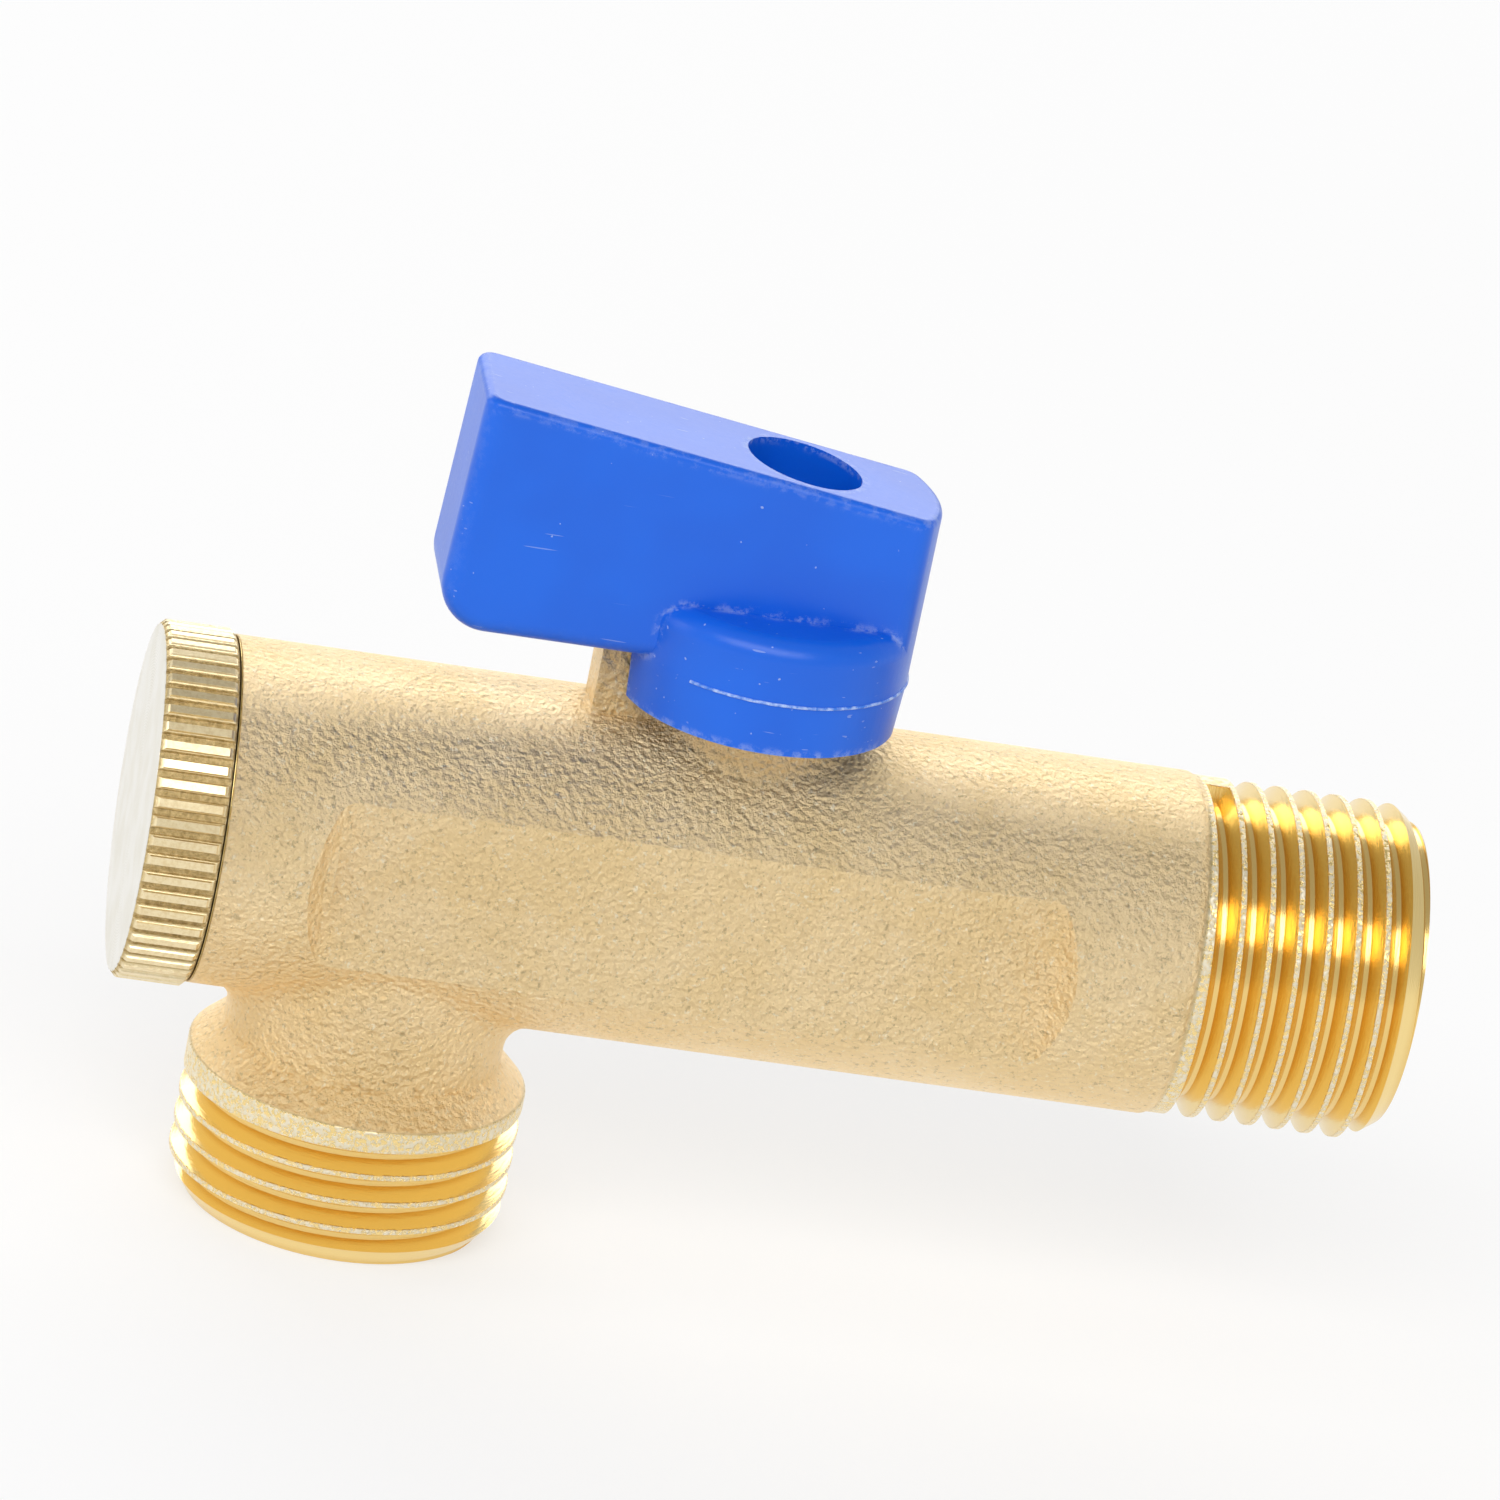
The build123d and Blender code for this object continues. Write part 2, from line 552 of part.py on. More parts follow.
def handle_screw():
    """Cross-recess pan-head screw that holds the handle on the stem."""
    head_low = RECESS_FLOOR + SPRING_WASHER_HEIGHT
    head = rod(SCREW_HEAD_R, head_low, head_low + SCREW_HEAD_HEIGHT)
    head = fillet(head.edges().group_by(Axis.Z)[-1], SCREW_HEAD_ROUND)
    screw = head + rod(SCREW_R, RECESS_FLOOR - SCREW_GRIP, head_low)
    top = head_low + SCREW_HEAD_HEIGHT
    long_half = SCREW_CROSS_LENGTH / 2
    thin_half = SCREW_CROSS_WIDTH / 2
    floor = top - SCREW_CROSS_DEPTH
    screw = screw - block(-long_half, long_half, -thin_half, thin_half, floor, top + PAST)
    screw = screw - block(-thin_half, thin_half, -long_half, long_half, floor, top + PAST)
    return Pos(STEM_X, 0, 0) * screw


def handle_screw_washer():
    """Split spring washer under the screw head."""
    top = RECESS_FLOOR + SPRING_WASHER_HEIGHT
    washer = ring(SCREW_R + SCREW_HOLE_FIT, SPRING_WASHER_R, RECESS_FLOOR, top)
    half = SPRING_WASHER_SPLIT / 2
    split = block(0, SPRING_WASHER_R + PAST, -half, half, RECESS_FLOOR - PAST, top + PAST)
    return Pos(STEM_X, 0, 0) * (washer - Rot(0, 0, SPRING_WASHER_TURN_DEG) * split)


# ---------------------------------------------------------------- strainer plug
def knurled_rim():
    """Plug head with straight knurling and a small chamfer at each end, outer face at z = 0."""
    tooth = 360 / KNURL_COUNT
    crest = tooth * KNURL_CREST_SHARE / 2
    floor = tooth * KNURL_FLOOR_SHARE / 2
    points = []
    for k in range(KNURL_COUNT):
        middle = k * tooth
        corners = (
            (PLUG_R, middle - crest),
            (PLUG_R, middle + crest),
            (PLUG_R - KNURL_DEPTH, middle + tooth / 2 - floor),
            (PLUG_R - KNURL_DEPTH, middle + tooth / 2 + floor),
        )
        for radius, degrees in corners:
            angle = math.radians(degrees)
            points.append(Vector(radius * math.cos(angle), radius * math.sin(angle), 0))
    rim = extrude(Face(Wire.make_polygon(points, close=True)), amount=PLUG_HEAD_WIDTH, dir=(0, 0, 1))
    envelope = turned([
        (0, 0),
        (PLUG_R - PLUG_CHAMFER, 0),
        (PLUG_R, PLUG_CHAMFER),
        (PLUG_R, PLUG_HEAD_WIDTH - PLUG_CHAMFER),
        (PLUG_R - PLUG_CHAMFER, PLUG_HEAD_WIDTH),
        (0, PLUG_HEAD_WIDTH),
    ])
    return rim & envelope


def strainer_plug():
    """Knurled plug with ring neck, M18 x 1 thread and a cup that holds the strainer's end cap."""
    neck_length = PLUG_SEAT_GAP + RING_RECESS_DEPTH
    thread_high = neck_length + PLUG_THREAD_LENGTH
    shank = rod(PLUG_THREAD_R, 0, thread_high) - rod(PLUG_CUP_R, 0, thread_high + PAST)
    shank = shank.cut(plug_thread_cutter(thread_high + PLUG_PITCH, male=True))
    in_phase = 180 - 360 * PLUG_SEAT_GAP / PLUG_PITCH
    shank = Rot(0, 0, in_phase) * shank
    neck_r = RING_RECESS_R - PLUG_RING_FIT - 2 * PLUG_RING_R
    shank = shank - ring(neck_r, PLUG_THREAD_R + PAST, -PAST, neck_length)
    tip = turned([
        (PLUG_MINOR_R, thread_high),
        (PLUG_THREAD_R + PAST, thread_high),
        (PLUG_THREAD_R + PAST, thread_high - PLUG_THREAD_DEPTH - PAST),
    ])
    shank = shank - tip
    cup_floor = thread_high - PLUG_CUP_DEPTH
    neck = rod(neck_r, -OVERLAP, min(neck_length, cup_floor))
    web = rod(PLUG_CUP_R + OVERLAP, -OVERLAP, cup_floor)
    plug = knurled_rim() + Pos(0, 0, PLUG_HEAD_WIDTH) * (shank + neck + web)
    return Pos(PLUG_FACE_X, 0, 0) * INWARD_FROM_PLUG * plug


def plug_o_ring():
    """Rubber ring on the plug's neck, in the recess of the body's mouth."""
    centre_r = RING_RECESS_R - PLUG_RING_FIT - PLUG_RING_R
    place = Pos(MOUTH_X + RING_RECESS_DEPTH / 2, 0, 0) * INWARD_FROM_PLUG
    return place * o_ring(centre_r, PLUG_RING_R, 0)


# ---------------------------------------------------------------- strainer
def strainer_span():
    """X of the screen's open end in the retainer and of its closed end in the plug."""
    open_end = RETAINER_END_X + COLLAR_RING_LENGTH
    closed_end = PLUG_THREAD_END_X - PLUG_CUP_DEPTH + STRAINER_FIT
    return open_end, closed_end


def strainer_screen():
    """Perforated stainless tube between the collar and the end cap."""
    open_end, closed_end = strainer_span()
    low = STRAINER_FIT
    high = open_end - closed_end - SCREEN_TO_CAP_FLOOR
    tube = ring(SCREEN_R - SCREEN_WALL, SCREEN_R, low, high)
    rows = int((high - low - 2 * SCREEN_END_BAND) / SCREEN_HOLE_PITCH) + 1
    first = (low + high - (rows - 1) * SCREEN_HOLE_PITCH) / 2
    half_turn = 180 / SCREEN_HOLES_AROUND
    drills = []
    for row in range(rows):
        for k in range(SCREEN_HOLES_AROUND):
            turn = (2 * k + row % 2) * half_turn
            drill = Rot(0, 90, 0) * rod(SCREEN_HOLE_R, 0, SCREEN_R + PAST)
            drills.append(Rot(0, 0, turn) * Pos(0, 0, first + row * SCREEN_HOLE_PITCH) * drill)
    return Pos(open_end, 0, 0) * INWARD_FROM_INLET * tube.cut(*drills)


def strainer_collar():
    """Brass collar round the open end, seated in the retainer."""
    open_end, _ = strainer_span()
    collar = ring(SCREEN_R, COLLAR_RING_R, STRAINER_FIT, COLLAR_RING_LENGTH)
    return Pos(open_end, 0, 0) * INWARD_FROM_INLET * collar


def strainer_end_cap():
    """Plastic cap over the closed end, seated in the plug's cup."""
    _, closed_end = strainer_span()
    inner_r = SCREEN_R - SCREEN_WALL
    cap = rod(PLUG_CUP_R - STRAINER_FIT, 0, END_CAP_LENGTH)
    cap = cap - ring(inner_r, SCREEN_R, SCREEN_TO_CAP_FLOOR, END_CAP_LENGTH + PAST)
    cap = cap - rod(inner_r - END_CAP_RIM, END_CAP_FLOOR, END_CAP_LENGTH + PAST)
    return Pos(closed_end, 0, 0) * INWARD_FROM_PLUG * cap


ring_low, ring_high = stem_ring_heights()
NODES = {
    "valve_body": valve_body(),
    "ball": ball(),
    "seat_inlet": ball_seat(1),
    "seat_outlet": ball_seat(-1),
    "seat_retainer": seat_retainer(),
    "retainer_o_ring": retainer_o_ring(),
    "stem": stem(),
    "stem_thrust_washer": stem_thrust_washer(),
    "stem_o_ring_lower": stem_o_ring(ring_low),
    "stem_o_ring_upper": stem_o_ring(ring_high),
    "handle": handle(),
    "handle_screw": handle_screw(),
    "handle_screw_washer": handle_screw_washer(),
    "strainer_plug": strainer_plug(),
    "plug_o_ring": plug_o_ring(),
    "strainer_screen": strainer_screen(),
    "strainer_collar": strainer_collar(),
    "strainer_end_cap": strainer_end_cap(),
}

for node, shape in NODES.items():
    export_step(shape, f"parts/{node}.step")
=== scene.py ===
import json
import math

import bpy
from mathutils import Matrix, Vector


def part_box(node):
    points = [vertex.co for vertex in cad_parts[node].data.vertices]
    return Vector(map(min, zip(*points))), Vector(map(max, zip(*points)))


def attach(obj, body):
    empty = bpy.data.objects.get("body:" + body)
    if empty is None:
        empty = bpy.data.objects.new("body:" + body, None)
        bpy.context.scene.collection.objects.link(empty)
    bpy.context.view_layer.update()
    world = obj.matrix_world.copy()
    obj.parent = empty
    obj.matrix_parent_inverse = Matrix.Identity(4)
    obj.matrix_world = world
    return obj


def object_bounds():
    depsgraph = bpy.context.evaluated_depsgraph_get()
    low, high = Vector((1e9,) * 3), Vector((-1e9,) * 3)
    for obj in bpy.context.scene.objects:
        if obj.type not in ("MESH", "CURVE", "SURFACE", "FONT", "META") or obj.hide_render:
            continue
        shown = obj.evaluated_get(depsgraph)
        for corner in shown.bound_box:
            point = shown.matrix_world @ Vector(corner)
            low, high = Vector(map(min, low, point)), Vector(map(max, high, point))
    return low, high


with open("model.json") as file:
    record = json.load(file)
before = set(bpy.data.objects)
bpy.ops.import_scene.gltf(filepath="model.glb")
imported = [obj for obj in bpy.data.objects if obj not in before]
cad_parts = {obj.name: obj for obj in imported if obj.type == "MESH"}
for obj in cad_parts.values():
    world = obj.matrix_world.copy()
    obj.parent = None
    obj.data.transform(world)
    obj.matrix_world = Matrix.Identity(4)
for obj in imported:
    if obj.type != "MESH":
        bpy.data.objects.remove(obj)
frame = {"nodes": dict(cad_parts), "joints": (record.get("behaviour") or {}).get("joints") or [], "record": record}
CAD_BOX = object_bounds()

MM = 0.001

# ---------------------------------------------------------------- places taken from the frame
PLUG_LOW, PLUG_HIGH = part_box("strainer_plug")
SCREEN_LOW, SCREEN_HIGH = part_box("strainer_screen")
JOINTS = {joint["name"]: joint for joint in frame["joints"]}
MOUNTS = {mount["name"]: mount for mount in frame["record"]["mounts"]}
STEM_X = JOINTS["handle_turn"]["pos_m"][0]
OUTLET_X = MOUNTS["outlet_face"]["pos_m"][0]
OUTLET_Z = MOUNTS["outlet_face"]["pos_m"][2]
PIPE_R = MOUNTS["inlet_thread"]["dims"]["r_mm"] * MM
PLUG_R = PLUG_HIGH.y
PLUG_SEAT_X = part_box("valve_body")[0].x

# ---------------------------------------------------------------- sizes that finishes and pieces follow
INLET_THREAD_LENGTH = 14.0 * MM
OUTLET_THREAD_LENGTH = 9.2 * MM
THREAD_DEPTH = 1.16 * MM
MACHINED_BORE_R = 9.1 * MM
OUTLET_BORE_EDGE_R = 6.4 * MM
HUB_R = 8.7 * MM
WEAVE_START = 2.2 * MM
WEAVE_BARE_ENDS = 3.2 * MM
WIRE_R = 0.045 * MM
WIRE_STAND_OFF = 1.2
FLASH_WAVE = 1.4 * MM
PARTING_Z = 15.2 * MM

# ---------------------------------------------------------------- camera
CAMERA_TARGET = Vector((-42.14, 0.0, 8.675)) * MM
CAMERA_DISTANCE = 612.8 * MM
CAMERA_YAW = math.radians(10.02)
CAMERA_ELEVATION = math.radians(21.19)
CAMERA_ROLL = math.radians(11.79)
CAMERA_LENS = 242.1
SENSOR_WIDTH = 36.0

# ---------------------------------------------------------------- stage, in metres and watts
FLOOR_HALF = 6.0
FLOOR_GAP = 0.02 * MM
SHEET_GREY = 0.38
SHEET_GLOW = 0.58
SKY_RAMP = ((0.0, 0.78), (0.25, 0.66), (0.60, 0.52), (0.92, 0.46))
# name: place from the object's centre, width, height, power
SOFT_BOXES = {
    "key_box": (Vector((-0.15, -0.64, 0.66)), 1.0, 0.42, 4.6),
    "back_box": (Vector((0.0, 1.10, 0.50)), 1.6, 0.6, 7.0),
    "side_box": (Vector((-0.95, 0.1, 0.30)), 0.5, 0.5, 1.6),
}

# ---------------------------------------------------------------- quality of the edge masks
BEVEL_SAMPLES = 4


# ================================================================ node helpers
class Shader:
    """A material's node tree with short ways to add and join nodes."""

    def __init__(self, name):
        self.material = bpy.data.materials.new(name)
        self.material.use_nodes = True
        self.tree = self.material.node_tree
        self.bsdf = self.tree.nodes["Principled BSDF"]
        self.position = self.node("ShaderNodeTexCoord").outputs["Object"]
        split = self.node("ShaderNodeSeparateXYZ")
        self.feed(split.inputs[0], self.position)
        self.x, self.y, self.z = split.outputs

    def node(self, kind, **settings):
        made = self.tree.nodes.new(kind)
        for key, value in settings.items():
            setattr(made, key, value)
        return made

    def feed(self, socket, value):
        """Joins an output to a socket, or sets the socket to a plain value."""
        if isinstance(value, bpy.types.NodeSocket):
            self.tree.links.new(value, socket)
        else:
            socket.default_value = value

    def math(self, operation, *values, clamp=False):
        made = self.node("ShaderNodeMath", operation=operation, use_clamp=clamp)
        for socket, value in zip(made.inputs, values):
            self.feed(socket, value)
        return made.outputs[0]

    def times(self, one, other):
        return self.math("MULTIPLY", one, other)

    def either(self, one, other):
        """The larger of two masks."""
        return self.math("MAXIMUM", one, other)

    def noise(self, size, detail=3.0, roughness=0.55, stretch=None, distortion=0.0):
        """Noise whose grains are about size metres across; stretch squeezes it along an axis."""
        made = self.node("ShaderNodeTexNoise")
        self.feed(made.inputs["Vector"], self.stretched(stretch))
        self.feed(made.inputs["Scale"], 1.0 / size)
        self.feed(made.inputs["Detail"], detail)
        self.feed(made.inputs["Roughness"], roughness)
        self.feed(made.inputs["Distortion"], distortion)
        return made.outputs["Fac"]

    def cells(self, size, feature="F1", stretch=None):
        """Distance to the nearest point of a cell pattern with cells of that size."""
        made = self.node("ShaderNodeTexVoronoi", feature=feature)
        self.feed(made.inputs["Vector"], self.stretched(stretch))
        self.feed(made.inputs["Scale"], 1.0 / size)
        return made.outputs["Distance"]

    def stretched(self, stretch):
        if stretch is None:
            return self.position
        mapping = self.node("ShaderNodeMapping")
        self.feed(mapping.inputs["Vector"], self.position)
        self.feed(mapping.inputs["Scale"], stretch)
        return mapping.outputs[0]

    def between(self, value, low, high):
        """0 below low and 1 above high, smooth between; swapped limits turn it round."""
        made = self.node("ShaderNodeMapRange", interpolation_type="SMOOTHSTEP")
        self.feed(made.inputs["Value"], value)
        if low <= high:
            ends = (low, high, 0.0, 1.0)
        else:
            ends = (high, low, 1.0, 0.0)
        for key, end in zip(("From Min", "From Max", "To Min", "To Max"), ends):
            self.feed(made.inputs[key], end)
        return made.outputs["Result"]

    def scaled(self, value, low, high):
        """Value from 0..1 moved to low..high."""
        return self.math("MULTIPLY_ADD", value, high - low, low)

    def radius_about_x(self):
        return self.math("SQRT", self.math("ADD", self.math("MULTIPLY", self.y, self.y),
                                           self.math("MULTIPLY", self.z, self.z)))

    def radius_about_z(self, centre_x):
        along = self.math("SUBTRACT", self.x, centre_x)
        return self.math("SQRT", self.math("ADD", self.math("MULTIPLY", self.y, self.y),
                                           self.math("MULTIPLY", along, along)))

    def lathe_rings(self, pitch, wander, sway):
        """Turning marks about the X axis; wander times sway shifts them so that they aren't even."""
        return self.math("SINE", self.math("MULTIPLY_ADD", self.radius_about_x(), 2 * math.pi / pitch,
                                           self.times(wander, sway)))

    def blend(self, share, one, other):
        """Colour or value one where share is 0 and other where it is 1."""
        if isinstance(one, tuple) or isinstance(other, tuple) or is_colour(one) or is_colour(other):
            made = self.node("ShaderNodeMix", data_type="RGBA")
            self.feed(made.inputs[0], share)
            self.feed(made.inputs[6], one)
            self.feed(made.inputs[7], other)
            return made.outputs[2]
        made = self.node("ShaderNodeMix", data_type="FLOAT")
        self.feed(made.inputs[0], share)
        self.feed(made.inputs[2], one)
        self.feed(made.inputs[3], other)
        return made.outputs[0]

    def edges(self, radius, low=0.05, high=0.35):
        """1 on convex or concave edges within radius, 0 on open faces."""
        bevel = self.node("ShaderNodeBevel", samples=BEVEL_SAMPLES)
        self.feed(bevel.inputs["Radius"], radius)
        geometry = self.node("ShaderNodeNewGeometry")
        dot = self.node("ShaderNodeVectorMath", operation="DOT_PRODUCT")
        self.feed(dot.inputs[0], bevel.outputs[0])
        self.feed(dot.inputs[1], geometry.outputs["Normal"])
        bend = self.math("SUBTRACT", 1.0, dot.outputs["Value"])
        return self.between(bend, low, high)

    def bump(self, height, distance, strength=1.0, normal=None):
        made = self.node("ShaderNodeBump")
        self.feed(made.inputs["Height"], height)
        self.feed(made.inputs["Distance"], distance)
        self.feed(made.inputs["Strength"], strength)
        if normal is not None:
            self.feed(made.inputs["Normal"], normal)
        return made.outputs[0]

    def set(self, **sockets):
        """Feeds Principled sockets, written with _ for spaces."""
        for key, value in sockets.items():
            self.feed(self.bsdf.inputs[key.replace("_", " ")], value)
        return self.material


def is_colour(value):
    return isinstance(value, bpy.types.NodeSocket) and value.type == "RGBA"


def colour(red, green, blue):
    return (red, green, blue, 1.0)


# ================================================================ brass
CAST_PALE = colour(0.95, 0.74, 0.43)
CAST_WARM = colour(0.91, 0.69, 0.37)
# painted shade: dark specks standing for shade in small pits of the forged skin
CAST_PIT_SHADE = colour(0.40, 0.30, 0.16)
# painted highlight: bright specks standing for glinting grit facets
CAST_GLINT_HIGHLIGHT = colour(0.99, 0.90, 0.70)
CAST_WORN = colour(0.92, 0.80, 0.56)
THREAD_GOLD = colour(0.92, 0.70, 0.30)
# painted shade in the thread roots
THREAD_ROOT_SHADE = colour(0.80, 0.52, 0.15)
CREST_GREY = colour(0.88, 0.80, 0.62)
TURNED_GOLD = colour(0.83, 0.68, 0.40)
TURNED_WARM = colour(0.78, 0.61, 0.33)
TURNED_WORN = colour(0.93, 0.83, 0.62)
KNURL_BRIGHT = colour(0.90, 0.76, 0.48)
KNURL_DULL = colour(0.80, 0.64, 0.36)
# painted shade in the knurl grooves, from darker to lighter by noise
KNURL_GROOVE_SHADE_DARK = colour(0.48, 0.35, 0.15)
KNURL_GROOVE_SHADE_PALE = colour(0.80, 0.64, 0.34)
KNURL_WORN = colour(0.95, 0.87, 0.66)
# painted highlight: the brass plug's turned end face painted near-white
FACE_LIT_WHITE = colour(0.86, 0.84, 0.78)
FACE_LIT_CREAM = colour(0.80, 0.77, 0.68)

SOFT_PATCHES = (0.35, 0.65)
CREST_BAND = 0.10 * MM
CREST_EDGE = 0.02 * MM
ROOT_START_SHARE = 0.6
TEAR_SIZE = 0.35 * MM
TEAR_DEPTH = 0.06 * MM
GRIT_SIZE = 0.38 * MM
FINE_GRIT_SIZE = 0.16 * MM
LUMP_SIZE = 0.45 * MM
PIT_SHADE_SIZE = 0.42 * MM
GLINT_HIGHLIGHT_SIZE = 0.36 * MM
GRAIN_DEPTH = 0.40 * MM
TOOL_MARK_WIDTH = 0.09 * MM
TOOL_MARK_DEPTH = 0.012 * MM
LATHE_RING_PITCH = 0.22 * MM
FACE_RING_PITCH = 0.18 * MM
RING_DEPTH = 0.006 * MM
KNURL_TOOTH_TOP = 0.10 * MM
KNURL_TOOTH_FLOOR = 0.26 * MM


def cut_zones(s, about_x, about_outlet):
    """Where the forging was machined: inlet thread, outlet thread, and all cut faces together."""
    inlet_end = -INLET_THREAD_LENGTH
    outlet_end = OUTLET_Z + OUTLET_THREAD_LENGTH
    inlet_cut = s.between(s.x, inlet_end - 0.25 * MM, inlet_end + 0.05 * MM)
    outlet_cut = s.between(s.z, outlet_end + 0.15 * MM, outlet_end)
    bore_cut = s.between(about_x, MACHINED_BORE_R + 0.1 * MM, MACHINED_BORE_R)
    outlet_bore_cut = s.between(about_outlet, OUTLET_BORE_EDGE_R + 0.2 * MM, OUTLET_BORE_EDGE_R)
    below_axis = s.between(s.z, 0.0, -1.0 * MM)
    mouth_cut = s.between(s.x, PLUG_SEAT_X + 0.12 * MM, PLUG_SEAT_X + 0.02 * MM)
    cut = s.either(inlet_cut, outlet_cut)
    for other in (bore_cut, s.times(outlet_bore_cut, below_axis), mouth_cut):
        cut = s.either(cut, other)
    return inlet_cut, outlet_cut, cut


def thread_crest(s, radius):
    """1 on the pipe thread's crests, for a distance from the thread's axis."""
    return s.between(radius, PIPE_R - CREST_BAND, PIPE_R - CREST_EDGE)


def thread_root(s, radius):
    """1 in the pipe thread's roots, for a distance from the thread's axis."""
    return s.between(radius, PIPE_R - ROOT_START_SHARE * THREAD_DEPTH, PIPE_R - THREAD_DEPTH)


def forged_brass():
    """Body finish: grit-blasted forging outside, bright cut threads and ends."""
    s = Shader("grit_blasted_brass")
    about_x = s.radius_about_x()
    about_outlet = s.radius_about_z(OUTLET_X)
    inlet_cut, outlet_cut, cut = cut_zones(s, about_x, about_outlet)
    cast = s.math("SUBTRACT", 1.0, cut)

    # thread: grey torn crests, gold flanks, and roots darkened as painted shade
    crest = s.either(s.times(inlet_cut, thread_crest(s, about_x)),
                     s.times(outlet_cut, thread_crest(s, about_outlet)))
    torn = s.noise(TEAR_SIZE, detail=5.0, roughness=0.7)
    crest = s.times(crest, s.between(torn, 0.40, 0.60))
    # root_shade: painted shade deep in the thread roots
    root_shade = s.either(s.times(inlet_cut, thread_root(s, about_x)),
                    s.times(outlet_cut, thread_root(s, about_outlet)))
    gold = s.blend(s.times(root_shade, 0.55), THREAD_GOLD, THREAD_ROOT_SHADE)
    gold = s.blend(crest, gold, CREST_GREY)

    # forged skin: dark specks of painted shade and bright specks of painted highlight over slow waves of colour,
    # worn along its edges
    fine = s.noise(FINE_GRIT_SIZE, detail=4.0, roughness=0.65)
    slow = s.noise(6.0 * MM, detail=3.0)
    # pit_shade: dark specks of painted shade
    pit_shade = s.between(s.noise(PIT_SHADE_SIZE, detail=3.0, roughness=0.7), 0.56, 0.68)
    # glint_highlights: bright specks of painted highlight
    glint_highlights = s.between(s.noise(GLINT_HIGHLIGHT_SIZE, detail=3.0, roughness=0.7, distortion=0.5), 0.58, 0.70)
    skin = s.blend(s.between(slow, *SOFT_PATCHES), CAST_PALE, CAST_WARM)
    skin = s.blend(s.times(pit_shade, 0.50), skin, CAST_PIT_SHADE)
    skin = s.blend(s.times(glint_highlights, 0.70), skin, CAST_GLINT_HIGHLIGHT)
    wear = s.times(s.edges(0.35 * MM), s.between(fine, 0.35, 0.6))
    skin = s.blend(s.times(wear, 0.6), skin, CAST_WORN)
    base = s.blend(cut, skin, gold)

    rough_skin = s.scaled(s.math("ADD", s.times(fine, 0.5), s.times(slow, 0.5)), 0.28, 0.46)
    rough_cut = s.blend(crest, s.scaled(torn, 0.12, 0.26), 0.42)
    roughness = s.blend(cut, rough_skin, rough_cut)

    grit = s.cells(GRIT_SIZE, feature="SMOOTH_F1")
    lumps = s.noise(LUMP_SIZE, detail=2.0)
    grain = s.math("ADD", s.times(grit, 0.6), s.times(fine, 0.5))
    grain = s.math("ADD", grain, s.times(lumps, 0.6))
    normal = s.bump(s.times(grain, cast), GRAIN_DEPTH)
    inlet_marks = s.noise(TOOL_MARK_WIDTH, detail=2.0, stretch=(1.0, 0.06, 0.06))
    outlet_marks = s.noise(TOOL_MARK_WIDTH, detail=2.0, stretch=(0.06, 0.06, 1.0))
    marks = s.math("ADD", s.times(inlet_marks, inlet_cut), s.times(outlet_marks, outlet_cut))
    normal = s.bump(marks, TOOL_MARK_DEPTH, normal=normal)
    normal = s.bump(s.times(torn, crest), TEAR_DEPTH, normal=normal)
    return s.set(Base_Color=base, Metallic=1.0, Roughness=roughness, Normal=normal)


def turned_brass():
    """Lathe-turned brass with fine rings about the X axis."""
    s = Shader("turned_brass")
    fine = s.noise(0.15 * MM, detail=3.0)
    slow = s.noise(5.0 * MM, detail=2.0)
    base = s.blend(s.between(slow, *SOFT_PATCHES), TURNED_GOLD, TURNED_WARM)
    base = s.blend(s.times(s.edges(0.25 * MM), 0.5), base, TURNED_WORN)
    rings = s.lathe_rings(LATHE_RING_PITCH, s.noise(3.0 * MM, detail=2.0), 3.0)
    normal = s.bump(rings, RING_DEPTH, 0.6)
    normal = s.bump(fine, 0.01 * MM, 0.7, normal)
    return s.set(Base_Color=base, Metallic=1.0, Roughness=s.scaled(fine, 0.2, 0.36), Normal=normal)


